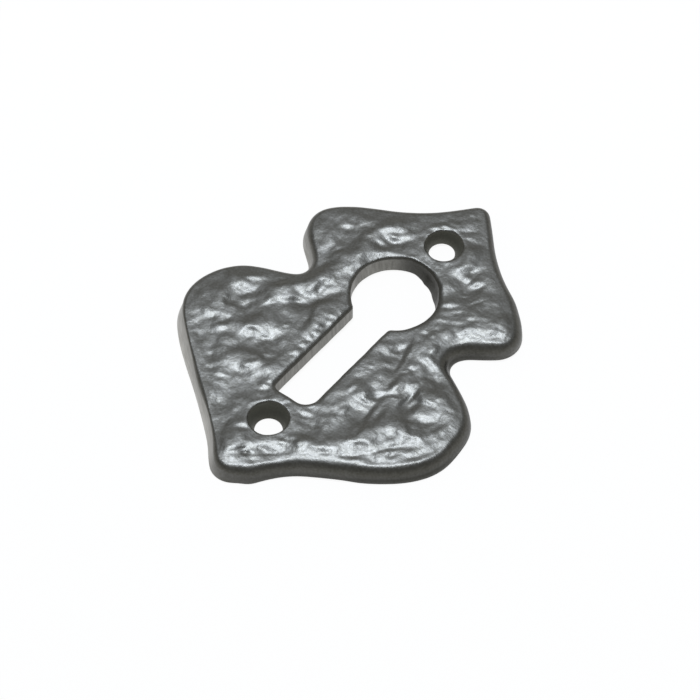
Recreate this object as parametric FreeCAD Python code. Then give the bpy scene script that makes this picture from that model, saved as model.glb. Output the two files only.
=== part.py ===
import FreeCAD, Part
from FreeCAD import Vector
import math
import os
import random

# Keyhole escutcheon for a lever lock: one hammered iron casting, in millimetres.
# X runs to the right, Y up the plate and Z out of its face. The origin is the centre
# of the keyhole's round part, on the flat back of the plate.

# Outline: rises and drops are measured from the keyhole's centre
plate_height = 60.0
tip_rise = 20.56
tip_shift = 0.15
tip_radius = 1.7
shoulder_half = 18.7
shoulder_rise = 3.9
waist_half = 13.0
waist_drop = 3.5
lobe_half = 23.4
lobe_drop = 16.9
foot_drop = plate_height - tip_rise
foot_radius = 3.4

# The hand-made pattern isn't even: how far the left side differs from the right
left_shoulder = (-0.2, 0.2)
left_waist = (0.0, 0.5)
left_lobe = (0.4, -0.6)

# Plate
plate_thickness = 2.8
edge_radius = 1.4

# Keyhole for a lever key
key_round_radius = 6.2
key_slot_width = 6.3
key_slot_drop = 23.4
key_slot_left_corner = 0.9
key_slot_right_corner = 2.0
key_throat_radius = 0.8
key_rim_chamfer = 0.5

# Countersunk holes for two No. 6 wood screws
screw_hole_diameter = 4.0
screw_sink_diameter = 5.8
screw_sink_angle = 90.0
screw_above_round = 5.04
screw_below_slot = 4.82
top_screw_rise = key_round_radius + screw_above_round
bottom_screw_drop = key_slot_drop + screw_below_slot

# Hammered face: shallow round blows in staggered rows
blow_spacing = 5.0
blow_scatter = 0.9
blow_reach = 3.5
blow_least_reach = 1.0
blow_depth = 0.3
blow_least_strength = 0.5
blow_clearance = 0.2
blow_trim = 1.2
blow_seed = 7

# How closely an edge has to match a place to count as lying there, how close to the
# outline a place still counts as inside, and how little a stretch of the outline turns,
# in radians, to be drawn straight
edge_match = 1e-3
inside_match = 1e-6
straight_turn = 1e-4
same_heading = 1e-9

# Bends of the outline between its widest and narrowest points, from the top down.
# Each is the share of the way, the bulge as a share of the stretch, and the turn in
# degrees off the straight line.
RIGHT_BENDS = {
    "flank": [(0.45, 0.007, 5), (0.81, 0.063, 0)],
    "neck": [(0.68, -0.028, -19)],
    "hip": [(0.255, 0.041, 23), (0.617, 0.156, 6)],
    "skirt": [(0.255, 0.092, -2), (0.622, 0.025, -11), (0.84, 0.038, 16)],
}
LEFT_BENDS = {
    "flank": [(0.33, -0.006, 1), (0.80, 0.062, 4)],
    "neck": [(0.52, 0.055, -19)],
    "hip": [(0.11, -0.015, 19), (0.45, 0.12, 19)],
    "skirt": [(0.18, 0.081, 2), (0.45, 0.062, -6), (0.79, 0.025, -2)],
}
TIP_SLOPES = {"right": -45, "left": -50}
FOOT_SLOPES = {"right": -143, "left": -138}


def heading(angle):
    """Unit vector that points at an angle in degrees from the X axis."""
    return Vector(math.cos(math.radians(angle)), math.sin(math.radians(angle)), 0)


def rounded_end(centre, radius, slope):
    """Point and heading where a clockwise circle has the given slope."""
    return centre + heading(slope + 90) * radius, heading(slope)


def bends(start, end, steps):
    """Points and headings between two main points of the outline."""
    chord = end - start
    left = Vector(-chord.y, chord.x, 0)
    lie = math.degrees(math.atan2(chord.y, chord.x))
    return [(start + chord * share + left * bulge, heading(lie + turn)) for share, bulge, turn in steps]


def side(uneven, shift, tip_slope, foot_slope, table):
    """Points and headings of the right-hand half of an outline, from the top down."""
    to_shoulder, to_waist, to_lobe = uneven
    tip = Vector(shift, tip_rise, 0)
    shoulder = Vector(shoulder_half + to_shoulder[0], shoulder_rise + to_shoulder[1], 0)
    waist = Vector(waist_half + to_waist[0], -waist_drop - to_waist[1], 0)
    lobe = Vector(lobe_half + to_lobe[0], -lobe_drop - to_lobe[1], 0)
    foot = Vector(0, -foot_drop, 0)
    points = [rounded_end(tip - Vector(0, tip_radius, 0), tip_radius, tip_slope)]
    points += bends(tip, shoulder, table["flank"])
    points.append((shoulder, heading(-90)))
    points += bends(shoulder, waist, table["neck"])
    points.append((waist, heading(-90)))
    points += bends(waist, lobe, table["hip"])
    points.append((lobe, heading(-90)))
    points += bends(lobe, foot, table["skirt"])
    points.append(rounded_end(foot + Vector(0, foot_radius, 0), foot_radius, foot_slope))
    return points


def mirrored(points):
    """The same points on the left-hand side, in the order and headings of the way back up."""
    return [(Vector(-p.x, p.y, 0), Vector(h.x, -h.y, 0)) for p, h in reversed(points)]


def outline_points():
    """All points and headings of the outline, clockwise from the top tip."""
    even = ((0, 0), (0, 0), (0, 0))
    right = side(even, tip_shift, TIP_SLOPES["right"], FOOT_SLOPES["right"], RIGHT_BENDS)
    uneven = (left_shoulder, left_waist, left_lobe)
    left = side(uneven, -tip_shift, TIP_SLOPES["left"], FOOT_SLOPES["left"], LEFT_BENDS)
    tip = (Vector(tip_shift, tip_rise, 0), heading(0))
    foot = (Vector(0, -foot_drop, 0), heading(180))
    return [tip] + right + [foot] + mirrored(left)


def arc_from(start, along, end):
    """Arc that leaves its start along a heading and ends at a point."""
    chord = end - start
    half_turn = math.atan2(along.x * chord.y - along.y * chord.x, along.dot(chord))
    if abs(half_turn) < straight_turn:
        return Part.LineSegment(start, end).toShape()
    sagitta = chord.Length / 2 * math.tan(half_turn / 2)
    outward = Vector(chord.y, -chord.x, 0).normalize()
    return Part.Arc(start, start + chord * 0.5 + outward * sagitta, end).toShape()


def arc_pair(start, leave, end, arrive):
    """Two arcs that meet smoothly and join two points at their headings."""
    chord = end - start
    across = chord.dot(leave + arrive)
    spread = 2 * (1 - leave.dot(arrive))
    if spread > same_heading:
        reach = (math.sqrt(across ** 2 + spread * chord.dot(chord)) - across) / spread
    else:
        reach = chord.dot(chord) / (4 * chord.dot(arrive))
    meet = (start + end + (leave - arrive) * reach) * 0.5
    meet_heading = end - arrive * reach - meet
    return [arc_from(start, leave, meet), arc_from(meet, meet_heading.normalize(), end)]


def outline_wire():
    """Closed outline of the plate as a chain of tangent arcs."""
    points = outline_points()
    arcs = []
    for (start, leave), (end, arrive) in zip(points, points[1:] + points[:1]):
        arcs += arc_pair(start, leave, end, arrive)
    return Part.Wire(arcs)


def edges_at(shape, height):
    """Edges of a shape that lie flat at a height."""
    found = []
    for edge in shape.Edges:
        box = edge.BoundBox
        if abs(box.ZMin - height) < edge_match and abs(box.ZMax - height) < edge_match:
            found.append(edge)
    return found


def upright_edges(shape, foot):
    """Edges of a shape that stand straight up from a point."""
    found = []
    for edge in shape.Edges:
        box = edge.BoundBox
        low_corner = Vector(box.XMin, box.YMin, box.ZMin)
        if low_corner.isEqual(foot, edge_match) and box.XLength + box.YLength < edge_match:
            found.append(edge)
    return found


def plate(outline):
    """Flat casting with its outer edge rolled over towards the face."""
    blank = Part.Face(outline).extrude(Vector(0, 0, plate_thickness))
    return blank.makeFillet(edge_radius, edges_at(blank, plate_thickness))


def key_opening(height):
    """Solid that fills the keyhole: a round part over a slot for the key's bit."""
    half = key_slot_width / 2
    slot = Part.makeBox(key_slot_width, key_slot_drop, height, Vector(-half, -key_slot_drop, 0))
    slot = slot.makeFillet(key_slot_left_corner, upright_edges(slot, Vector(-half, -key_slot_drop, 0)))
    slot = slot.makeFillet(key_slot_right_corner, upright_edges(slot, Vector(half, -key_slot_drop, 0)))
    opening = Part.makeCylinder(key_round_radius, height).fuse(slot).removeSplitter()
    throat_drop = math.sqrt(key_round_radius ** 2 - half ** 2)
    throat = upright_edges(opening, Vector(-half, -throat_drop, 0))
    throat += upright_edges(opening, Vector(half, -throat_drop, 0))
    return opening.makeFillet(key_throat_radius, throat)


def with_keyhole(body):
    """Cut the keyhole and break its rim on the face."""
    opening = key_opening(plate_thickness)
    cut = body.cut(opening)
    around = opening.BoundBox
    around.enlarge(edge_match)
    rim = [edge for edge in edges_at(cut, plate_thickness) if around.isInside(edge.BoundBox)]
    return cut.makeChamfer(key_rim_chamfer, rim)


def screw_places():
    """Centres of the screw holes on the plate's axis."""
    return [Vector(0, top_screw_rise, 0), Vector(0, -bottom_screw_drop, 0)]


def screw_cutter():
    """Clearance hole and countersink of one screw, turned as a single profile."""
    hole = screw_hole_diameter / 2
    sink = screw_sink_diameter / 2
    slope = math.tan(math.radians(screw_sink_angle / 2))
    sink_floor = plate_thickness - (sink - hole) / slope
    over = plate_thickness + hole
    profile = [
        Vector(0, 0, -hole), Vector(hole, 0, -hole), Vector(hole, 0, sink_floor),
        Vector(sink, 0, plate_thickness), Vector(sink + hole * slope, 0, over), Vector(0, 0, over),
    ]
    face = Part.Face(Part.makePolygon(profile + profile[:1]))
    return face.revolve(Vector(0, 0, 0), Vector(0, 0, 1), 360)


def clearance_to(shape, place):
    """Distance in plan from a place on the back plane to a wire or an edge."""
    return shape.distToShape(Part.Vertex(place))[0]


def room_for_blow(outline, keyhole, place):
    """Widest reach of a blow at a place that leaves every edge of the face as it is."""
    rooms = [
        clearance_to(outline, place) - edge_radius,
        clearance_to(keyhole, place) - key_rim_chamfer,
    ]
    for screw in screw_places():
        rooms.append(screw.distanceToPoint(place) - screw_sink_diameter / 2)
    return min(rooms) - blow_clearance


def hammer_blow(place, reach, depth):
    """Slice of a ball that dishes the face to a depth, over a reach around a place."""
    radius = (reach ** 2 + depth ** 2) / (2 * depth)
    spread = math.degrees(math.asin(min(1.0, blow_trim * reach / radius)))
    ball = Part.makeSphere(radius, Vector(0, 0, 0), Vector(0, 1, 0), -spread, spread, 2 * spread)
    middle = ball.CenterOfMass
    ball.rotate(Vector(0, 0, 0), Vector(0, 1, 0), 180 - math.degrees(math.atan2(middle.x, middle.z)))
    return ball.translated(place + Vector(0, 0, plate_thickness - depth + radius))


def hammer_blows(outline):
    """All the blows that fit between the plate's edges and its openings."""
    chance = random.Random(blow_seed)
    keyhole = Part.Wire(Part.sortEdges(edges_at(key_opening(plate_thickness), 0))[0])
    inside = Part.Face(outline).cut(Part.Face(keyhole))
    box = outline.BoundBox
    row_step = blow_spacing * math.sqrt(3) / 2
    blows = []
    for row in range(int(box.YLength / row_step) + 1):
        start = box.XMin + (row % 2) * blow_spacing / 2
        for column in range(int(box.XLength / blow_spacing) + 1):
            x = start + column * blow_spacing + chance.uniform(-0.5, 0.5) * blow_scatter
            y = box.YMin + row * row_step + chance.uniform(-0.5, 0.5) * blow_scatter
            strength = chance.uniform(blow_least_strength, 1.0)
            place = Vector(x, y, 0)
            if not inside.isInside(place, inside_match, True):
                continue
            reach = min(blow_reach * math.sqrt(strength), room_for_blow(outline, keyhole, place))
            if reach > blow_least_reach:
                blows.append(hammer_blow(place, reach, blow_depth * strength * reach / blow_reach))
    return blows


def escutcheon():
    """The whole casting."""
    outline = outline_wire()
    body = with_keyhole(plate(outline))
    cutter = screw_cutter()
    for place in screw_places():
        body = body.cut(cutter.translated(place))
    blows = hammer_blows(outline)
    return body.cut(blows[0].fuse(blows[1:])).Solids[0]


os.makedirs("parts", exist_ok=True)
escutcheon().exportStep("parts/escutcheon.step")
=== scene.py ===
import math

import bmesh
import bpy
import numpy as np
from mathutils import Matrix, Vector
from mathutils.geometry import delaunay_2d_cdt


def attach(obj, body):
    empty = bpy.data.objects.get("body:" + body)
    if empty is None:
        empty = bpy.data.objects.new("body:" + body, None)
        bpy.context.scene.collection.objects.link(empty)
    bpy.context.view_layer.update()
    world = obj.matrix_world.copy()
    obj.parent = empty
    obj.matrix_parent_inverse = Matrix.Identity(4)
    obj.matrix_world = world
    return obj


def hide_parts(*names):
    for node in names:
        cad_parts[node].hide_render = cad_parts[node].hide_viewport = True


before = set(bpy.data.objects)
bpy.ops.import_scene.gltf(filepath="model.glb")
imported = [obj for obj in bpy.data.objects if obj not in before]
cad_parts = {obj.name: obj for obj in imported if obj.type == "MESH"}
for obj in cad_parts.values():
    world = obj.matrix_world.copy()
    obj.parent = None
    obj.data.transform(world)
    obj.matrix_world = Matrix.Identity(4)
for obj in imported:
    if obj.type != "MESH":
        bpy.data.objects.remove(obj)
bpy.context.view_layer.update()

# Keyhole escutcheon: one hammered iron casting with a satin black finish. Lengths of
# the casting are in millimetres, those of the studio in metres. X runs to the right,
# Y up the plate and Z out of its face.
MM = 0.001
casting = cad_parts["escutcheon"]

# Face of the casting
face_level = 2.54
top_limit = 2.875
top_ease = 0.12
face_pitch = 0.18
pillow_reach = 4.6
pillow_curve = 1.6
crest_reach = 2.4
calm_start = 0.5
calm_reach = 2.4
calm_grain = 0.3

# Outer edge: each place has x, y, how far the foot of the wall is tucked in, how far its
# top leans in, the radius that it rolls over with, how far the face sinks towards it, how
# much more it falls off just before the roll, and how bare the grinding left the wall,
# below zero for painted shade that darkens the wall
outline_pitch = 0.24
outline_soften = 0.35
edge_spread = 2.8
edge_roll_rows = 12
roll_start_tries = 8
back_arris = 0.12
wall_wander = 0.06
WALL_STEPS = (0.0, 0.25, 0.5, 0.75)
EDGE = (
    (0.2, 20.4, 0.0, -0.08, 0.9, 0.3, 0.0, 0.1),
    (8.6, 13.2, 0.0, -0.05, 1.1, 0.34, 0.0, 0.1),
    (18.7, 4.4, 0.0, 0.05, 1.3, 0.32, 0.15, 0.2),
    (16.2, -1.2, 0.0, 0.1, 1.5, 0.34, 0.35, -0.6),
    (13.0, -3.5, -0.2, 0.1, 1.4, 0.34, 0.35, -0.6),
    (17.2, -8.6, -0.15, 0.0, 1.2, 0.32, 0.1, -0.4),
    (23.3, -15.6, 0.0, 0.0, 1.4, 0.34, 0.2, -0.5),
    (23.0, -19.6, -0.3, 0.05, 1.5, 0.34, 0.3, -0.55),
    (19.5, -24.0, -0.12, 0.1, 1.6, 0.34, 0.35, -0.6),
    (9.4, -31.5, 0.05, 0.1, 1.5, 0.34, 0.35, -0.5),
    (2.6, -38.2, 0.0, 0.2, 1.8, 0.34, 0.35, -0.5),
    (0.2, -39.3, 0.0, 0.5, 1.4, 0.3, 0.2, -0.2),
    (-1.9, -38.2, 0.15, 0.85, 0.5, 0.24, 0.0, 0.9),
    (-3.6, -36.4, 0.12, 0.85, 0.4, 0.2, 0.0, 1.0),
    (-8.0, -32.8, 0.05, 0.85, 0.4, 0.2, 0.0, 1.0),
    (-12.0, -29.5, 0.25, 0.6, 0.9, 0.22, 0.0, 0.9),
    (-16.5, -26.4, 0.0, 1.0, 0.4, 0.2, 0.0, 1.0),
    (-21.6, -21.6, 0.0, 1.05, 0.4, 0.2, 0.0, 1.0),
    (-23.4, -17.6, 0.0, 0.05, 0.7, 0.24, 0.0, 0.6),
    (-22.6, -12.8, 0.0, -0.05, 0.9, 0.4, 0.0, 0.1),
    (-17.0, -8.5, 0.0, -0.2, 0.9, 0.4, 0.0, 0.1),
    (-13.0, -5.0, -0.1, -0.1, 1.1, 0.34, 0.0, 0.3),
    (-14.6, -1.6, -0.12, 0.8, 1.1, 0.28, 0.0, 0.8),
    (-17.9, 1.2, 0.0, 0.7, 1.1, 0.28, 0.0, 0.7),
    (-18.4, 5.2, 0.0, -0.2, 0.9, 0.4, 0.0, 0.1),
    (-8.0, 14.0, 0.0, -0.1, 1.0, 0.36, 0.0, 0.1),
)

# Keyhole: a soft rim on a sawn wall, its round part a little further out at the back
key_pitch = 0.2
key_soften = 0.16
key_rim = 0.75
key_rim_more = 0.1
key_rim_depth = 0.38
key_rim_rows = 7
key_sag = 0.13
key_sag_reach = 1.7
key_flare = 0.45
key_back_shift = (-0.11, -0.02)
slot_back_shift = (0.08, -0.10)
flash_bearing = 60
flash_spread = 32
flash_width = 0.72
far_side = np.array((-0.625, 0.78))
key_round_from = -5.0
key_round_to = -2.0
# Painted shade on the round part of the keyhole: the x where it begins and how far to the right it
# grows to full
key_shade_from = -5.0
key_shade_reach = 4.0
KEY_WALL_STEPS = (0.0, 0.2, 0.4, 0.6, 0.8)

# Screw holes: radius and height on the way up, the last ones below the face, then for each
# hole how far its foot leans to x and y and how much narrower it is
hole_pitch = 0.17
lip_radius = 3.1
HOLE_WALL = ((2.0, 0.12), (2.06, 0.6), (2.2, 1.1), (2.4, 1.6), (2.62, 2.0), (2.8, 2.25))
HOLE_LIP = ((2.93, 0.10), (3.0, 0.03))
HOLE_LEANS = ((-0.5, 0.13, 0.13), (0.15, -0.22, 0.02))

# Hammer marks: x, y, half length, half width, lie in degrees, height. All but the two
# pits were read off the photo to the nearest half millimetre, as faint, fair or
# strong. A mark is about half as high at the edge of its half length and half width.
mark_depth = 1.1
mark_fall = 0.69
mark_flatness = 1.2
lip_share = 0.68
lip_wander = 0.12
faint = 0.14
fair = 0.2
strong = 0.28
HOLLOWS = (
    # beside the top screw hole and on the left shoulder
    (-5.5, 7.0, 2.5, 1.5, 30, -fair),
    (6.5, 8.0, 2.5, 2.0, -45, -strong),
    (-12.5, 4.5, 2.0, 1.5, -45, -faint),
    (-11.5, 0.5, 2.0, 1.5, 90, -faint),
    # left lobe
    (-8.5, -8.0, 3.5, 1.5, 60, -strong),
    (-16.0, -13.5, 3.0, 1.5, -60, -fair),
    (-8.5, -18.0, 2.0, 1.5, 0, -fair),
    (-11.0, -20.5, 2.5, 1.5, -30, -faint),
    (-16.5, -22.0, 3.0, 1.5, -45, -faint),
    # right lobe
    (7.5, -8.5, 4.0, 1.5, -60, -strong),
    (13.5, -8.5, 2.5, 1.5, 0, -strong),
    (13.5, -13.5, 3.0, 1.5, -60, -strong),
    (18.5, -15.0, 2.0, 1.5, 45, -faint),
    (9.5, -18.5, 3.5, 1.5, 90, -strong),
    (19.5, -20.0, 3.0, 1.5, 60, -faint),
    (14.5, -25.0, 3.0, 1.5, 45, -faint),
    # below the slot and towards the bottom point
    (5.0, -25.0, 2.0, 1.5, -60, -faint),
    (-6.5, -25.5, 3.0, 2.0, 15, -fair),
    (-7.0, -30.0, 2.5, 1.5, -45, -fair),
    (4.0, -33.5, 3.0, 1.5, 45, -fair),
    # two small pits
    (17.6, 3.6, 0.45, 0.45, 0, -faint),
    (0.9, -34.8, 0.5, 0.5, 0, -faint),
)
SWELLINGS = (
    # shoulders and waists
    (-8.0, 9.5, 2.0, 1.5, 60, fair),
    (4.5, 10.5, 2.5, 1.5, -75, fair),
    (-9.0, 2.0, 4.0, 1.5, 90, fair),
    (13.5, 4.5, 3.0, 1.5, 15, fair),
    (12.0, 1.5, 2.0, 1.5, 15, faint),
    (10.0, -3.5, 2.5, 1.5, -75, faint),
    # left lobe
    (-11.0, -5.5, 3.0, 1.5, 60, strong),
    (-6.0, -10.0, 3.0, 1.0, -75, fair),
    (-13.0, -10.0, 2.0, 1.5, 60, fair),
    (-18.5, -11.0, 2.0, 1.5, 45, fair),
    (-18.5, -17.0, 2.5, 1.5, -75, fair),
    (-12.0, -16.5, 2.5, 1.5, 45, fair),
    (-9.0, -22.5, 3.0, 1.5, 15, fair),
    # right lobe and the bottom point
    (10.5, -11.5, 2.5, 1.5, -75, fair),
    (15.5, -11.0, 2.5, 1.5, -15, faint),
    (7.0, -16.5, 2.0, 1.5, -60, faint),
    (15.0, -18.5, 2.5, 1.5, 15, strong),
    (12.0, -23.0, 2.5, 1.5, 75, strong),
    (7.5, -28.0, 3.0, 1.5, 30, strong),
    (-1.5, -34.0, 2.5, 1.5, -75, fair),
)

# Lips and creases between the marks: x, y, half length, half width, lie in degrees and
# steepness, below zero for a crease that faces away from the near right
LIPS = (
    # left lobe
    (-17.0, -9.9, 1.0, 0.55, 40, 0.30),
    (-17.5, -11.8, 0.7, 0.5, 25, 0.30),
    (-16.8, -12.7, 0.6, 0.45, 60, 0.28),
    (-15.4, -14.2, 0.9, 0.5, 80, 0.18),
    (-12.9, -12.3, 0.8, 0.4, 70, 0.32),
    (-11.4, -10.4, 1.2, 0.45, 45, 0.26),
    (-9.9, -9.2, 0.9, 0.4, 15, 0.28),
    (-9.8, -7.6, 0.9, 0.5, 20, 0.28),
    (-14.3, -7.6, 0.5, 0.35, 40, 0.28),
    (-11.6, -17.3, 0.8, 0.5, 35, 0.34),
    (-9.3, -17.1, 0.8, 0.45, 30, 0.28),
    (-9.1, -15.9, 0.6, 0.4, 30, 0.20),
    (-15.8, -17.7, 0.6, 0.45, 40, 0.24),
    (-17.6, -18.8, 0.9, 0.5, 60, 0.18),
    (-15.1, -20.1, 0.6, 0.5, 45, 0.34),
    (-12.0, -18.8, 0.8, 0.5, 30, 0.20),
    (-7.1, -19.8, 0.5, 0.4, 30, 0.32),
    (-8.3, -14.0, 0.4, 0.3, 60, 0.22),
    (-7.7, -22.8, 1.0, 0.5, 55, 0.30),
    (-18.3, -23.2, 0.8, 0.4, 60, 0.28),
    (-19.0, -21.2, 0.9, 0.5, 70, 0.18),
    (-9.7, -26.4, 0.9, 0.4, 20, 0.22),
    (-12.1, -26.0, 0.6, 0.45, 40, 0.24),
    (-9.0, -24.6, 1.6, 0.8, 30, -0.12),
    (-3.9, -24.3, 0.6, 0.5, 40, 0.36),
    (-3.9, -23.2, 0.4, 0.3, 40, 0.28),
    (-6.4, -24.5, 0.6, 0.4, 20, 0.18),
    (-13.8, -24.4, 0.6, 0.45, 40, 0.16),
    (-13.0, -15.3, 1.3, 0.8, 80, -0.16),
    (-12.6, -16.9, 0.9, 0.5, 30, -0.16),
    (-7.6, -8.3, 1.0, 0.6, 60, -0.20),
    (-14.2, -9.3, 1.5, 0.5, 45, -0.15),
    (-17.0, -15.9, 1.2, 0.5, 20, -0.12),
    (-10.6, -18.4, 0.7, 0.35, 60, -0.18),
    (-15.9, -19.4, 0.6, 0.3, 60, -0.20),
    (-9.4, -20.6, 1.4, 0.6, 10, -0.12),
    (-6.2, -21.2, 0.8, 0.5, 60, -0.16),
    # beads on the left rim of the slot
    (-4.4, -8.8, 0.4, 0.32, 30, 0.28),
    (-4.4, -10.2, 0.4, 0.34, 40, 0.24),
    (-4.5, -11.4, 0.4, 0.32, 20, 0.24),
    (-4.3, -12.7, 0.32, 0.3, 40, 0.26),
    (-4.4, -13.8, 0.34, 0.3, 30, 0.26),
    (-4.3, -15.4, 0.34, 0.3, 30, 0.26),
    (-4.5, -17.2, 0.4, 0.34, 20, 0.18),
    (-4.4, -19.3, 0.36, 0.34, 20, 0.14),
    # left shoulder and the side of the round opening
    (-12.7, 5.5, 0.7, 0.45, 20, 0.34),
    (-11.5, 1.3, 0.5, 0.3, 75, 0.34),
    (-13.2, 6.8, 0.7, 0.4, 75, 0.14),
    (-14.8, 6.8, 0.7, 0.4, 75, 0.12),
    (-11.4, 6.9, 0.8, 0.4, 75, 0.12),
    (-7.3, 8.8, 1.1, 0.5, 42, 0.32),
    (-6.7, 7.6, 0.8, 0.45, 20, 0.30),
    (-4.9, 9.0, 0.9, 0.5, 60, 0.28),
    (-7.4, 6.0, 0.6, 0.4, 15, 0.20),
    (-5.4, 4.9, 0.9, 0.5, 45, 0.30),
    (-7.4, 2.7, 1.2, 0.7, 50, 0.24),
    (-7.6, 0.6, 0.9, 0.5, 75, 0.24),
    (-9.2, -4.3, 0.9, 0.4, 30, 0.26),
    (-9.4, -5.8, 0.8, 0.6, 70, 0.24),
    (-9.4, -1.2, 0.8, 0.4, 60, 0.18),
    (-7.2, -5.0, 0.6, 0.4, 45, 0.20),
    (-9.8, 6.5, 2.5, 0.5, 85, -0.12),
    (-10.8, -1.5, 1.5, 0.6, 80, -0.16),
    (-8.3, -4.9, 1.0, 0.4, 80, -0.16),
    (-5.7, 6.9, 0.7, 0.4, 60, -0.18),
    # foot of the top point and the rim of the round opening
    (-0.4, 18.1, 0.35, 0.25, 20, 0.34),
    (-1.0, 16.9, 0.9, 0.4, 45, 0.16),
    (-1.3, 15.05, 0.9, 0.3, 8, 0.24),
    (0.6, 15.3, 0.9, 0.3, 35, 0.26),
    (-1.0, 14.2, 1.0, 0.25, 8, 0.30),
    (-2.2, 13.8, 0.5, 0.3, 30, 0.30),
    (-2.9, 12.8, 0.5, 0.35, 50, 0.40),
    (1.8, 14.3, 0.5, 0.25, 20, 0.24),
    (5.7, 10.3, 1.1, 0.6, 40, 0.32),
    (4.9, 9.2, 0.8, 0.6, 60, 0.24),
    (6.2, 8.3, 0.9, 0.5, 10, 0.24),
    (2.9, 9.1, 0.6, 0.5, 30, 0.24),
    (3.7, 8.6, 0.5, 0.3, 20, 0.20),
    (-3.9, 5.9, 0.7, 0.25, 30, 0.26),
    (-2.3, 6.45, 0.8, 0.25, 15, 0.26),
    (-0.2, 6.65, 0.9, 0.25, 5, 0.26),
    (1.7, 6.5, 0.7, 0.3, 10, 0.24),
    (1.9, 7.5, 0.7, 0.35, 15, 0.22),
    # right shoulder
    (8.2, 8.6, 0.7, 0.45, 60, 0.32),
    (9.8, 5.8, 0.7, 0.25, 65, 0.34),
    (7.9, 5.8, 0.3, 0.2, 40, 0.30),
    (7.0, 2.8, 0.8, 0.4, 35, 0.36),
    (8.9, 2.9, 0.6, 0.35, 40, 0.22),
    (11.2, 2.8, 0.4, 0.4, 60, 0.22),
    (8.4, 0.4, 1.0, 0.35, 30, 0.22),
    (10.4, 1.5, 0.9, 0.35, 30, 0.20),
    (8.5, -1.2, 0.4, 0.3, 30, 0.22),
    (7.7, -2.8, 0.5, 0.3, 20, 0.28),
    (9.0, -2.9, 0.4, 0.3, 20, 0.28),
    (13.0, 4.4, 0.5, 0.3, 30, 0.22),
    (15.5, 4.5, 1.2, 0.4, 10, 0.18),
    (17.1, 4.4, 0.5, 0.4, 75, 0.26),
    (15.4, 3.0, 1.3, 0.5, 30, 0.30),
    (12.8, 1.6, 1.2, 0.5, 40, 0.26),
    (16.1, 1.3, 0.9, 0.35, 30, 0.30),
    (14.0, -0.4, 0.8, 0.4, 30, 0.24),
    (11.4, -0.8, 1.0, 0.5, 55, 0.30),
    (13.4, 0.8, 0.8, 0.4, 20, 0.20),
    (11.2, -4.5, 0.7, 0.4, 40, 0.28),
    (12.3, -6.6, 1.4, 0.6, 10, 0.26),
    (10.7, -6.5, 0.6, 0.5, 30, 0.22),
    (6.3, -7.2, 0.8, 0.5, 60, 0.32),
    (15.3, 1.6, 0.8, 0.35, 20, -0.20),
    (7.2, 8.8, 0.9, 0.4, 80, -0.24),
    (9.0, 8.6, 1.0, 0.5, 70, -0.16),
    (12.3, 3.1, 0.6, 0.3, 40, -0.18),
    (9.6, -0.6, 0.8, 0.4, 60, -0.14),
    (13.0, -7.6, 1.2, 0.5, 10, -0.16),
    (10.6, -3.7, 0.8, 0.4, 30, -0.14),
    # right lobe
    (10.1, -8.8, 0.5, 0.4, 40, 0.34),
    (9.8, -9.9, 0.4, 0.3, 40, 0.28),
    (7.2, -10.6, 0.6, 0.5, 45, 0.28),
    (6.5, -8.6, 0.8, 0.4, 20, 0.26),
    (5.4, -12.4, 0.4, 0.3, 20, 0.24),
    (11.3, -12.5, 0.9, 0.6, 50, 0.32),
    (12.3, -11.2, 0.5, 0.3, 75, 0.34),
    (12.7, -14.1, 1.0, 0.4, 85, 0.30),
    (11.6, -14.7, 0.4, 0.3, 20, 0.24),
    (9.5, -15.1, 1.3, 0.4, 45, 0.36),
    (8.5, -16.4, 0.8, 0.4, 35, 0.26),
    (8.4, -17.5, 0.8, 0.45, 10, 0.32),
    (8.5, -18.9, 0.9, 0.4, 15, 0.28),
    (5.9, -17.2, 0.8, 0.35, 85, 0.22),
    (5.0, -14.6, 0.4, 0.4, 45, 0.22),
    (15.6, -12.4, 0.9, 0.35, 15, 0.32),
    (16.9, -10.9, 0.5, 0.4, 45, 0.28),
    (18.8, -11.4, 0.5, 0.35, 10, 0.22),
    (17.0, -14.6, 1.1, 0.5, 15, 0.32),
    (18.0, -13.5, 0.5, 0.4, 80, 0.22),
    (20.7, -13.9, 1.0, 0.4, 85, 0.22),
    (21.2, -17.6, 1.0, 0.4, 70, 0.26),
    (19.7, -20.5, 1.4, 0.5, 55, 0.26),
    (18.3, -22.8, 1.0, 0.4, 50, 0.22),
    (16.4, -24.3, 1.2, 0.5, 35, 0.26),
    (15.5, -19.2, 0.9, 0.6, 20, 0.24),
    (16.3, -21.3, 0.5, 0.45, 40, 0.28),
    (14.4, -21.2, 0.9, 0.4, 60, 0.22),
    (17.0, -22.6, 0.4, 0.35, 60, 0.32),
    (13.1, -23.6, 0.8, 0.5, 30, 0.32),
    (11.6, -25.0, 0.9, 0.6, 45, 0.30),
    (17.8, -18.6, 0.9, 0.4, 30, 0.22),
    (7.6, -20.5, 0.6, 0.4, 80, 0.26),
    (8.2, -8.8, 2.3, 0.4, 104, -0.40),
    (9.8, -12.3, 1.2, 0.45, 88, -0.32),
    (13.4, -12.2, 1.3, 0.4, 92, -0.36),
    (14.8, -14.2, 0.9, 0.5, 80, -0.32),
    (10.4, -18.3, 1.8, 0.45, 96, -0.40),
    (11.4, -21.8, 1.8, 0.45, 104, -0.40),
    (17.8, -20.8, 1.0, 0.5, 35, -0.34),
    (15.1, -23.9, 1.4, 0.3, 50, -0.22),
    (19.4, -15.0, 1.2, 0.4, 80, -0.16),
    (16.0, -16.4, 1.4, 0.5, 20, -0.14),
    (5.6, -20.6, 0.8, 0.4, 70, -0.14),
    # below the slot and towards the bottom point
    (3.4, -22.9, 0.8, 0.5, 40, 0.22),
    (3.5, -24.4, 0.7, 0.4, 10, 0.32),
    (4.4, -25.4, 0.6, 0.4, 15, 0.24),
    (-2.9, -27.0, 0.7, 0.3, 55, 0.40),
    (-3.2, -28.2, 0.4, 0.3, 75, 0.28),
    (-1.8, -25.8, 0.5, 0.3, 40, 0.30),
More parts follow.
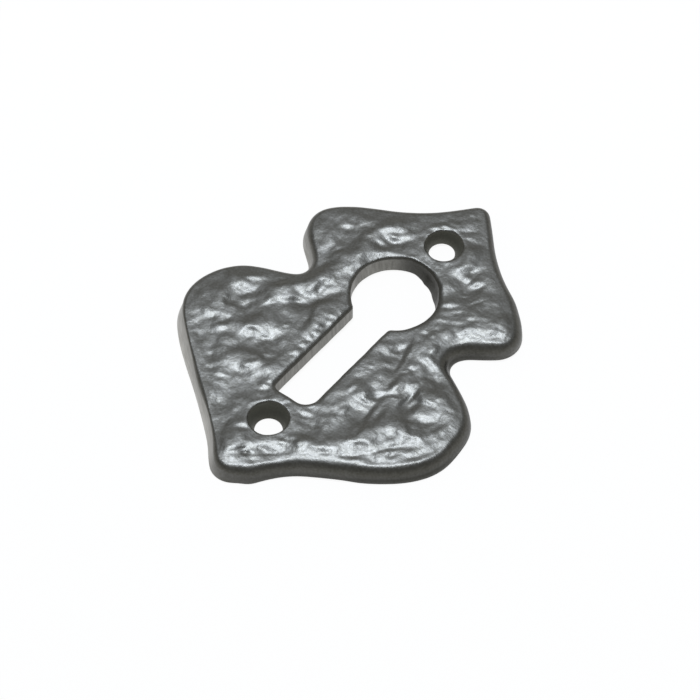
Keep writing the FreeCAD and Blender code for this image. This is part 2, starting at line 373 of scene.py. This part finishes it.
    (0.1, -24.6, 0.6, 0.3, 60, 0.24),
    (-2.1, -31.6, 0.7, 0.5, 30, 0.36),
    (4.6, -29.2, 0.6, 0.4, 30, 0.26),
    (6.7, -28.7, 0.6, 0.5, 80, 0.28),
    (3.9, -30.8, 0.9, 0.5, 25, 0.32),
    (2.1, -32.8, 1.1, 0.5, 30, 0.28),
    (0.0, -34.6, 0.8, 0.45, 70, 0.28),
    (-0.6, -35.9, 0.8, 0.5, 50, 0.18),
    (9.3, -28.0, 0.9, 0.5, 35, 0.22),
    (1.9, -34.9, 1.2, 0.35, 42, -0.20),
    (4.4, -32.7, 1.3, 0.35, 40, -0.26),
    (7.9, -29.4, 1.5, 0.45, 38, -0.22),
    (10.6, -28.0, 1.3, 0.4, 36, -0.18),
    (13.3, -26.4, 1.3, 0.45, 38, -0.28),
    (2.4, -29.4, 0.8, 0.4, 30, -0.16),
    (-5.3, -29.6, 1.2, 0.5, 50, -0.12),
    (-11.0, -28.2, 1.6, 3.0, 38, -0.08),
    (-4.8, -33.2, 1.6, 2.6, 38, -0.08),
    # scratches that meet in a star by the bottom point
    (0.3, -34.5, 0.45, 0.13, 50, 0.45),
    (0.6, -34.2, 0.4, 0.12, 70, 0.45),
    (1.0, -34.3, 0.4, 0.12, 85, 0.40),
    (1.3, -34.8, 0.4, 0.12, 20, -0.40),
    (0.9, -35.3, 0.4, 0.12, 60, -0.40),
)

# Skin of the casting: size of its grain, height, seed
GRAINS = ((3.2, 0.09, 3), (1.7, 0.055, 4), (0.85, 0.013, 5))
grain_cells = 256
grain_strength = 1.5

# How far the rims of the marks wander: size, reach and the seeds for x and y
WANDERS = ((2.6, 0.55, (21, 22)), (1.3, 0.08, (23, 24)))

# Mesh: points compared at a time, the sharpest bend in degrees that is still shaded
# smooth, and how far above the flat back a corner still belongs to it
gap_batch = 2000
smooth_below = 38
back_within = 1e-3

# Finishes beside the black face: ground outer walls, sawn keyhole, painted shade on the near
# walls and in the round part of the keyhole, and painted shade in the screw holes
FINISHES = ("ground", "sawn", "thick", "pooled")

# Shades of the finishes, from dark to light where they vary
BLACK = ((0.078, 0.077, 0.068, 1), (0.154, 0.154, 0.152, 1))
GROUND = ((0.32, 0.315, 0.295, 1), (0.56, 0.555, 0.535, 1))
SAWN = ((0.13, 0.128, 0.118, 1), (0.27, 0.267, 0.25, 1))
# Painted shade: a near black for the near walls and the round part of the keyhole
PAINTED_SHADE = (0.026, 0.026, 0.022, 1)
# Painted shade for the walls of the screw holes, one flat tone in place of the iron's grain
HOLE_SHADE = (0.13, 0.13, 0.112, 1)

# Lamps: name, azimuth and elevation seen from the plate, distance, width, depth,
# brightness and tint
LAMPS = (
    ("softbox", 218.7, 76, 0.9, 0.20, 0.16, 67.0, (0.86, 0.92, 1.0)),
    ("wide_panel", 218.7, 47, 0.95, 0.6, 0.45, 0.43, (0.98, 0.99, 1.0)),
)
# Brightness of the room from the horizon, 0, to straight above, 1
ROOM = ((0.0, 0.9), (0.2, 0.75), (0.55, 0.3), (1.0, 0.22))
ROOM_TINT = (1.0, 0.985, 0.9, 1)

# Floor of white paper: half its side, how far it lies below the plate, its shade and how
# much of it is plain white to the camera, the rest of it taking the plate's shadow
floor_half = 3.0
floor_gap = 0.00002
PAPER = (0.9, 0.9, 0.9, 1)
paper_white = 0.9

camera_azimuth = 38.705
camera_elevation = 52.017
camera_distance = 0.8501
camera_lens = 310.93
aim_point = Vector((0.00012, -0.01026, 0.0))


def grain(points, size, seed):
    """Smooth random heights about zero, with swellings of a given size."""
    dice = np.random.default_rng(seed)
    turn = dice.uniform(0, 2 * np.pi, (grain_cells, grain_cells))
    at = points / size
    cell = np.floor(at).astype(int)
    part = at - cell
    ease = part ** 3 * (part * (part * 6 - 15) + 10)
    total = 0
    for i in (0, 1):
        for j in (0, 1):
            angle = turn[(cell[:, 0] + i) % grain_cells, (cell[:, 1] + j) % grain_cells]
            pull = np.cos(angle) * (part[:, 0] - i) + np.sin(angle) * (part[:, 1] - j)
            share = np.abs(1 - i - ease[:, 0]) * np.abs(1 - j - ease[:, 1])
            total = total + pull * share
    return total * grain_strength


def across_and_along(points, x, y, lie):
    """Distances from a place, along a direction in degrees and square to it."""
    c, s = math.cos(math.radians(lie)), math.sin(math.radians(lie))
    away = points - (x, y)
    return away @ (-s, c), away @ (c, s)


def marks(points):
    """Heights of the hammer marks, their rims made uneven, and of the lips between them."""
    wander = np.zeros_like(points)
    for size, reach, seeds in WANDERS:
        wander += reach * np.stack([grain(points, size, seed) for seed in seeds], 1)
    total = np.zeros(len(points))
    for x, y, long, wide, lie, high in HOLLOWS + SWELLINGS:
        across, along = across_and_along(points + wander, x, y, lie)
        away = (along / long) ** 2 + (across / wide) ** 2
        total += mark_depth * high * np.exp(-mark_fall * away ** mark_flatness)
    for x, y, long, wide, lie, steep in LIPS:
        across, along = across_and_along(points + lip_wander * wander, x, y, lie)
        away = (along / long) ** 2 + (across / wide) ** 2
        total += lip_share * steep * across * np.exp(-0.5 * away)
    return total


def loop_gap(points, loop):
    """Distance from each point to a closed loop."""
    ends = np.roll(loop, -1, 0)
    span = ends - loop
    reach = np.maximum((span ** 2).sum(1), 1e-12)
    best = np.empty(len(points))
    for start in range(0, len(points), gap_batch):
        some = points[start:start + gap_batch, None]
        share = np.clip(((some - loop) * span).sum(2) / reach, 0, 1)
        away = some - loop - span * share[..., None]
        best[start:start + gap_batch] = np.hypot(away[..., 0], away[..., 1]).min(1)
    return best


def inside(points, loop):
    """True for the points that a closed loop surrounds."""
    ends = np.roll(loop, -1, 0)
    odd = np.zeros(len(points), bool)
    for (ax, ay), (bx, by) in zip(loop, ends):
        if ay == by:
            continue
        rise = (ay > points[:, 1]) != (by > points[:, 1])
        cross = ax + (points[:, 1] - ay) * (bx - ax) / (by - ay)
        odd ^= rise & (points[:, 0] < cross)
    return odd


def smooth_step(value):
    """Goes gently from 0 to 1 as the value does."""
    held = np.clip(value, 0, 1)
    return held * held * (3 - 2 * held)


def edge_at(points):
    """Tuck, lean, roll, drop, crest and bareness, below zero for painted shade, of the outer edge near
    each point, in columns.
    """
    places = np.array(EDGE)
    far = ((points[:, None] - places[:, :2]) ** 2).sum(2)
    far -= far.min(1)[:, None]
    weight = np.exp(-0.5 * far / edge_spread ** 2)
    return weight @ places[:, 2:] / weight.sum(1)[:, None]


def pillow(gap, drop, crest):
    """How far the face sinks towards the outline before the edge rolls over."""
    broad = drop * np.clip(1 - gap / pillow_reach, 0, 1) ** pillow_curve
    narrow = crest * np.clip(1 - gap / crest_reach, 0, 1) ** 2
    return broad + narrow


class Face:
    """The hammered face between the outline and the keyhole."""

    def __init__(self, outline, key):
        self.outline = outline
        self.key = key

    def height(self, points, gap=None, key_gap=None):
        """Height at points, whose gaps to the two loops may be given."""
        gap = loop_gap(points, self.outline) if gap is None else gap
        key_gap = loop_gap(points, self.key) if key_gap is None else key_gap
        rough = sum(high * grain(points, size, seed) for size, high, seed in GRAINS)
        calm = smooth_step((gap - calm_start) / calm_reach)
        relief = marks(points) * calm + rough * (calm_grain + (1 - calm_grain) * calm)
        sag = key_sag * np.clip(1 - key_gap / key_sag_reach, 0, 1) ** 2
        near = edge_at(points)
        height = face_level - pillow(gap, near[:, 3], near[:, 4]) - sag + relief
        over = np.maximum(height - (top_limit - top_ease), 0)
        return height - over + top_ease * np.tanh(over / top_ease)


def back_loops():
    """Closed edges of the flat back, longest first."""
    mesh = casting.data
    spots = np.empty(len(mesh.vertices) * 3)
    mesh.vertices.foreach_get("co", spots)
    spots = np.round(spots.reshape(-1, 3) / MM, 4)
    places, index = np.unique(spots, axis=0, return_inverse=True)
    index = index.ravel()
    once = {}
    for face in mesh.polygons:
        corners = [int(index[v]) for v in face.vertices]
        if max(places[c][2] for c in corners) > back_within:
            continue
        for a, b in zip(corners, corners[1:] + corners[:1]):
            if (b, a) in once:
                del once[(b, a)]
            else:
                once[(a, b)] = True
    follow = dict(once.keys())
    loops = []
    while follow:
        start, here = follow.popitem()
        loop = [start]
        while here != start:
            loop.append(here)
            here = follow.pop(here)
        loops.append(places[loop][:, :2])
    return sorted(loops, key=lambda loop: -np.ptp(loop[:, 1]))


def evened(loop, pitch, soften):
    """A loop with evenly spaced points, its facets softened over a distance, run anticlockwise."""
    ends = np.roll(loop, -1, 0)
    if np.sum(loop[:, 0] * ends[:, 1] - loop[:, 1] * ends[:, 0]) < 0:
        loop = loop[::-1]
    closed = np.vstack([loop, loop[:1]])
    length = np.concatenate([[0], np.cumsum(np.hypot(*np.diff(closed, axis=0).T))])
    fine = 8 * int(round(length[-1] / pitch))
    at = np.arange(fine) * length[-1] / fine
    points = np.stack([np.interp(at, length, closed[:, i]) for i in (0, 1)], 1)
    turns = np.fft.rfftfreq(fine, length[-1] / fine) * 2 * np.pi
    blur = np.exp(-0.5 * (turns * soften) ** 2)[:, None]
    return np.fft.irfft(np.fft.rfft(points, axis=0) * blur, fine, axis=0)[::8]


def into_ring(loop):
    """Unit vectors across an anticlockwise loop, towards its middle."""
    along = np.roll(loop, -1, 0) - np.roll(loop, 1, 0)
    along /= np.hypot(*along.T)[:, None]
    return np.stack([-along[:, 1], along[:, 0]], 1)


class Skin:
    """Points and faces of one closed surface, with how much of each finish a point has."""

    def __init__(self):
        self.points = []
        self.finish = []
        self.faces = []
        self.count = 0

    def add(self, flat, height, **finish):
        """Points at places and heights, with their finishes. Gives their numbers."""
        rows = np.column_stack([flat, np.broadcast_to(height, len(flat))])
        self.points.append(rows)
        shares = [np.broadcast_to(finish.get(word, 0), len(flat)) for word in FINISHES]
        self.finish.append(np.stack(shares, 1))
        self.count += len(rows)
        return np.arange(self.count - len(rows), self.count)

    def bands(self, rows):
        """Faces between each closed row of points and the next."""
        for low, high in zip(rows, rows[1:]):
            quads = np.stack([low, np.roll(low, -1), np.roll(high, -1), high], 1)
            self.faces.extend(quads.tolist())

    def patch(self, flat, height, rings):
        """Fills inside the first ring and outside the others, with more points between them."""
        known = np.concatenate(rings)
        every = np.vstack(self.points)
        spots = np.vstack([every[known, :2], flat])
        edges, start = [], 0
        for ring in rings:
            ids = np.arange(start, start + len(ring))
            edges.extend(np.stack([ids, np.roll(ids, -1)], 1).tolist())
            start += len(ring)
        made = delaunay_2d_cdt([Vector(p) for p in spots], edges, [], 0, 1e-6)
        if len(made[0]) != len(spots):
            raise ValueError("the rings of the casting's face cross")
        triangles = np.array(made[2])
        order = np.array([ids[0] for ids in made[3]])
        names = np.concatenate([known, self.add(flat, height)])
        middle = spots[order[triangles]].mean(1)
        kept = inside(middle, every[rings[0], :2])
        for ring in rings[1:]:
            kept &= ~inside(middle, every[ring, :2])
        self.faces.extend(names[order[triangles[kept]]].tolist())

    def mesh(self, name):
        """Mesh with every face turned outwards, smooth but for the edges of the back."""
        mesh = bpy.data.meshes.new(name)
        mesh.from_pydata((np.vstack(self.points) * MM).tolist(), [], self.faces)
        finish = np.vstack(self.finish)
        for column, word in enumerate(FINISHES):
            share = mesh.attributes.new(word, "FLOAT", "POINT")
            share.data.foreach_set("value", finish[:, column].astype(np.float32))
        work = bmesh.new()
        work.from_mesh(mesh)
        bmesh.ops.recalc_face_normals(work, faces=work.faces)
        work.to_mesh(mesh)
        work.free()
        mesh.shade_smooth()
        mesh.set_sharp_from_angle(angle=math.radians(smooth_below))
        return mesh


def outer_edge(skin, outline, face):
    """Wall that leans in and the roll over it. Gives its end rings and the roll's reach."""
    inward = into_ring(outline)
    tuck, lean, roll, drop, crest, bare = edge_at(outline).T
    centre_level = face_level - drop - roll

    # The roll starts square to the leaning wall
    start = np.zeros(len(outline))
    for _ in range(roll_start_tries):
        start = np.arctan2(lean - tuck, centre_level + roll * np.sin(start) - back_arris)
    sway = wall_wander * (grain(outline, 5.0, 31) + 0.5 * grain(outline, 2.0, 32))

    def sagging(gap):
        return drop - pillow(gap, drop, crest)

    # Painted shade on the walls where the bareness is below zero, grinding where it is above
    thick = np.maximum(-bare, 0)
    bare = np.maximum(bare, 0)
    rows = [skin.add(outline + inward * (tuck + back_arris)[:, None], 0.0, ground=0.6 * bare)]
    wall_top = centre_level + roll * np.sin(start) + sagging(lean)
    for share in WALL_STEPS:
        gap = tuck + (lean - tuck) * share + sway * math.sin(math.pi * share)
        flat = outline + inward * gap[:, None]
        level = back_arris + share * (wall_top - back_arris)
        ground = bare * (1 - 0.5 * share)
        rows.append(skin.add(flat, level, ground=ground, thick=thick * smooth_step(share + 0.3)))
    for row in range(edge_roll_rows + 1):
        turn = start + (0.5 * np.pi - start) * row / edge_roll_rows
        gap = lean + roll * (np.cos(start) - np.cos(turn))
        flat = outline + inward * gap[:, None]
        ridge = face.height(flat, gap) - face_level + pillow(gap, drop, crest)
        level = centre_level + roll * np.sin(turn) + sagging(gap)
        share = row / edge_roll_rows
        fade = (1 - share) ** 4
        rise = level + ridge * smooth_step(share)
        rows.append(skin.add(flat, rise, ground=0.5 * bare * fade, thick=thick * fade))
    skin.bands(rows)
    return rows[0], rows[-1], lean + roll * np.cos(start)


def keyhole_wall(skin, key, face):
    """Sawn wall of the keyhole with its soft rim. Gives its lowest and highest rings."""
    outward = -into_ring(key)
    brow = face.height(key, key_gap=np.zeros(len(key)))
    rounded = smooth_step((key[:, 1] - key_round_from) / (key_round_to - key_round_from))[:, None]
    far = rounded * np.maximum(outward @ far_side, 0)[:, None]
    rim = key_rim + key_rim_more * rounded - key_flare * far
    rough = 0.012 * grain(key, 0.7, 41)[:, None] + 0.03 * grain(key, 2.0, 42)[:, None]
    bearing = np.degrees(np.arctan2(key[:, 1], key[:, 0]))[:, None]
    flash = flash_width * np.exp(-((bearing - flash_bearing) / flash_spread) ** 4)
    flash = flash * rounded * (0.85 + 0.3 * grain(key, 1.6, 43)[:, None])

    def drawn(share):
        shift = rounded * np.array(key_back_shift) + (1 - rounded) * np.array(slot_back_shift)
        out = key_flare * far * share + rough - flash * np.clip(1 - 1.4 * share, 0, 1) ** 0.7
        return key + shift * (1 - share) + outward * out

    # Painted shade on the right of the round part of the keyhole, in place of the sawn grey
    key_shade = (rounded * smooth_step((key[:, :1] - key_shade_from) / key_shade_reach))[:, 0]
    rows = [skin.add(drawn(0) + outward * back_arris, 0.0, sawn=0.7 * (1 - key_shade), thick=0.6 * key_shade)]
    for share in KEY_WALL_STEPS:
        level = back_arris + share * (brow - key_rim_depth - back_arris)
        rows.append(skin.add(drawn(share), level, sawn=1 - key_shade, thick=0.6 * key_shade))
    for row in range(key_rim_rows + 1):
        turn = math.radians(90 * row / key_rim_rows)
        gap = rim * (1 - math.cos(turn))
        out = key_flare * far + gap
        flat = key + outward * (out + rough * (1 - row / key_rim_rows))
        brow = face.height(flat, key_gap=out[:, 0])
        level = brow - key_rim_depth * (1 - math.sin(turn))
        sawn = 1 - key_shade if row == 0 else 0
        rows.append(skin.add(flat, level, sawn=sawn, thick=0.6 * key_shade * math.cos(turn)))
    skin.bands(rows)
    return rows[0], rows[-1]


def screw_hole(skin, centre, leans, face):
    """Cast screw hole that widens towards the face. Gives its lowest and highest rings."""
    lean, narrower = np.array(leans[:2]), leans[2]
    count = int(2 * math.pi * lip_radius / hole_pitch)
    spokes = np.arange(count) * 2 * math.pi / count
    ray = np.stack([np.cos(spokes), np.sin(spokes)], 1)
    top = HOLE_WALL[-1][1]
    foot = HOLE_WALL[0][0] + back_arris - narrower
    # The walls of the hole get painted shade and a duller surface
    rows = [skin.add(centre + lean + ray * foot, 0.0, pooled=1)]
    for radius, level in HOLE_WALL:
        flat = centre + lean * (1 - level / top) + ray * (radius - narrower)
        rows.append(skin.add(flat, level, pooled=1))
    for radius, below in HOLE_LIP:
        flat = centre + ray * (radius - narrower)
        rows.append(skin.add(flat, face.height(flat) - below))
    flat = centre + ray * lip_radius
    rows.append(skin.add(flat, face.height(flat)))
    skin.bands(rows)
    return rows[0], rows[-1]


def hammered_casting():
    """The whole casting as one closed mesh on the outlines of the flat back."""
    outer, keyhole, *holes = back_loops()
    outline = evened(outer, outline_pitch, outline_soften)
    key = evened(keyhole, key_pitch, key_soften)
    centres = sorted([(loop.min(0) + loop.max(0)) / 2 for loop in holes], key=lambda spot: -spot[1])
    face = Face(outline, key)
    skin = Skin()
    low_ring, high_ring, reach = outer_edge(skin, outline, face)
    openings = [keyhole_wall(skin, key, face)]
    for centre, leans in zip(centres, HOLE_LEANS):
        openings.append(screw_hole(skin, centre, leans, face))
    back = [low_ring] + [ends[0] for ends in openings]
    rings = [high_ring] + [ends[1] for ends in openings]

    low, high = outline.min(0), outline.max(0)
    across = np.arange(low[0], high[0], face_pitch)
    down = np.arange(low[1], high[1], face_pitch * math.sin(math.radians(60)))
    spots = np.stack(np.meshgrid(across, down), 2)
    spots[1::2, :, 0] += face_pitch / 2
    spots = spots.reshape(-1, 2)
    spots = spots[inside(spots, outline) & ~inside(spots, key)]
    gap, key_gap = loop_gap(spots, outline), loop_gap(spots, key)
    key_brow = np.vstack(skin.points)[rings[1], :2]
    kept = ~inside(spots, key_brow) & (loop_gap(spots, key_brow) > 0.5 * face_pitch)
    for centre in centres:
        kept &= np.hypot(*(spots - centre).T) > lip_radius + 0.5 * face_pitch
    rim = np.vstack(skin.points)[rings[0], :2]
    kept &= gap > reach.min()
    spots, gap, key_gap = spots[kept], gap[kept], key_gap[kept]
    kept = inside(spots, rim) & (loop_gap(spots, rim) > 0.5 * face_pitch)
    spots, gap, key_gap = spots[kept], gap[kept], key_gap[kept]
    skin.patch(spots, face.height(spots, gap, key_gap), rings)
    skin.patch(np.empty((0, 2)), np.empty(0), back)
    return skin.mesh("hammered_casting")


class Wire:
    """An output socket that takes part in sums, each of which adds its Math node."""

    def __init__(self, bench, socket):
        self.bench = bench
        self.socket = socket

    def maths(self, kind, a, b):
        return self.bench.node("ShaderNodeMath", {"operation": kind}, {0: a, 1: b})

    def __add__(self, other):
        return self.maths("ADD", self, other)

    def __mul__(self, other):
        return self.maths("MULTIPLY", self, other)

    __radd__ = __add__
    __rmul__ = __mul__


class Bench:
    """The nodes of one finish or of the room, laid out by calls."""

    def __init__(self, owner):
        owner.use_nodes = True
        self.tree = owner.node_tree
        self.tree.nodes.clear()

    def node(self, kind, settings=None, sockets=None, out=0):
        """A node of a type with its settings and sockets. Gives the output that is asked for."""
        made = self.tree.nodes.new(kind)
        for name, value in (settings or {}).items():
            if name == "stops":
                ramp = made.color_ramp
                while len(ramp.elements) < len(value):
                    ramp.elements.new(0.5)
                for element, (place, shade) in zip(ramp.elements, value):
                    element.position = place
                    element.color = (shade, shade, shade, 1)
            else:
                setattr(made, name, value)
        for name, value in (sockets or {}).items():
            if isinstance(value, Wire):
                self.tree.links.new(value.socket, made.inputs[name])
            else:
                made.inputs[name].default_value = value
        return Wire(self, made.outputs[out]) if len(made.outputs) else None

    def noise(self, place, scale, detail):
        sockets = {"Vector": place, "Scale": scale, "Detail": detail}
        return self.node("ShaderNodeTexNoise", {}, sockets, "Fac")

    def stretched(self, place, stretch):
        return self.node("ShaderNodeVectorMath", {"operation": "MULTIPLY"}, {0: place, 1: stretch})

    def share(self, word):
        return self.node("ShaderNodeAttribute", {"attribute_name": word}, {}, "Fac")

    def mixed(self, factor, low, high):
        return self.node("ShaderNodeMix", {"data_type": "RGBA"}, {"Factor": factor, 6: low, 7: high}, 2)


def black_iron():
    """Satin black cast iron: a fine grain all over, greyer where it was ground or sawn, with painted
    shade on the near walls, in the keyhole and in the screw holes.
    """
    finish = bpy.data.materials.new("black_iron")
    bench = Bench(finish)
    place = bench.node("ShaderNodeTexCoord", out="Object")
    speckle = bench.noise(place, 2800, 3)
    mottle = bench.noise(place, 1300, 2)
    cloud = bench.noise(place, 420, 4)
    strokes = bench.noise(bench.stretched(place, (0.2, 0.2, 1.6)), 2600, 2)
    teeth = bench.noise(bench.stretched(place, (1.0, 1.0, 0.12)), 2600, 2)
    iron = bench.mixed(0.4 * cloud + 1.1 * speckle + -0.25, *BLACK)
    bare = bench.mixed(1.6 * strokes + -0.3, *GROUND)
    sawn = bench.mixed(1.4 * teeth + -0.2, *SAWN)
    shade = bench.mixed(bench.share("sawn"), bench.mixed(bench.share("ground"), iron, bare), sawn)
    # Painted shade: near black on the near walls and in the keyhole, a flat tone in the screw holes
    pooled = bench.share("pooled")
    shade = bench.mixed(bench.share("thick"), shade, PAINTED_SHADE)
    shade = bench.mixed(pooled, shade, HOLE_SHADE)
    height = 0.018 * speckle + 0.036 * mottle
    bump = bench.node("ShaderNodeBump", {}, {"Strength": 1.0, "Distance": MM, "Height": height})
    dullness = 0.36 + 0.09 * cloud + 0.3 * pooled
    sockets = {"Base Color": shade, "Metallic": 1.0, "Roughness": dullness, "Normal": bump}
    metal = bench.node("ShaderNodeBsdfPrincipled", {}, sockets)
    bench.node("ShaderNodeOutputMaterial", {}, {"Surface": metal})
    return finish


def white_paper():
    """Floor of white paper that still takes a soft shadow."""
    finish = bpy.data.materials.new("white_paper")
    bench = Bench(finish)
    paper = bench.node("ShaderNodeBsdfDiffuse", {}, {"Color": PAPER})
    glow = bench.node("ShaderNodeEmission", {}, {"Color": (1, 1, 1, 1), "Strength": 1.0})
    seen = 0
    for ray in ("Is Camera Ray", "Is Glossy Ray", "Is Transmission Ray"):
        seen = bench.node("ShaderNodeLightPath", out=ray) + seen
    lit = bench.node("ShaderNodeMixShader", {}, {0: seen * paper_white, 1: paper, 2: glow})
    bench.node("ShaderNodeOutputMaterial", {}, {"Surface": lit})
    return finish


def aim(azimuth, elevation, distance):
    """Place and turn of something that looks at the plate from an azimuth and an elevation."""
    a, e = math.radians(azimuth), math.radians(elevation)
    back = Vector((math.sin(a) * math.cos(e), -math.cos(a) * math.cos(e), math.sin(e)))
    return aim_point + back * distance, (-back).to_track_quat("-Z", "Y")


def stand(name, thing, azimuth, elevation, distance):
    """Puts a lamp or a camera in the studio, looking at the plate."""
    holder = bpy.data.objects.new(name, thing)
    holder.rotation_mode = "QUATERNION"
    holder.location, holder.rotation_quaternion = aim(azimuth, elevation, distance)
    bpy.context.scene.collection.objects.link(holder)
    return holder


def studio():
    """Paper floor, soft lamps and a pale room."""
    paper = bpy.data.meshes.new("floor")
    corners = [(floor_half * x, floor_half * y, 0) for x, y in ((-1, -1), (1, -1), (1, 1), (-1, 1))]
    paper.from_pydata(corners, [], [(0, 1, 2, 3)])
    paper.materials.append(white_paper())
    floor = bpy.data.objects.new("floor", paper)
    floor.location.z = -floor_gap
    bpy.context.scene.collection.objects.link(floor)

    for name, azimuth, elevation, distance, wide, deep, bright, tint in LAMPS:
        lamp = bpy.data.lights.new(name, "AREA")
        lamp.shape = "RECTANGLE"
        lamp.size, lamp.size_y = wide, deep
        lamp.energy = bright * math.pi * wide * deep
        lamp.color = tint
        stand(name, lamp, azimuth, elevation, distance)

    room = bpy.data.worlds.new("pale_room")
    bpy.context.scene.world = room
    bench = Bench(room)
    direction = bench.node("ShaderNodeTexCoord", out="Generated")
    up = bench.node("ShaderNodeSeparateXYZ", {}, {0: direction}, "Z")
    level = bench.node("ShaderNodeValToRGB", {"stops": ROOM}, {0: up})
    shade = bench.mixed(level, (0, 0, 0, 1), ROOM_TINT)
    walls = bench.node("ShaderNodeBackground", {}, {"Color": shade, "Strength": 1.0})
    bench.node("ShaderNodeOutputWorld", {}, {"Surface": walls})


def camera():
    """Long lens at the photograph's viewing angle."""
    lens = bpy.data.cameras.new("camera")
    lens.sensor_width = 36
    lens.lens = camera_lens
    lens.clip_start, lens.clip_end = 0.05, 10
    bpy.context.scene.camera = stand("camera", lens, camera_azimuth, camera_elevation, camera_distance)


mesh = hammered_casting()
mesh.materials.append(black_iron())
plate = bpy.data.objects.new("hammered_casting", mesh)
bpy.context.scene.collection.objects.link(plate)
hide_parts("escutcheon")
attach(plate, "root")
studio()
camera()
bpy.context.scene.view_settings.view_transform = "Standard"
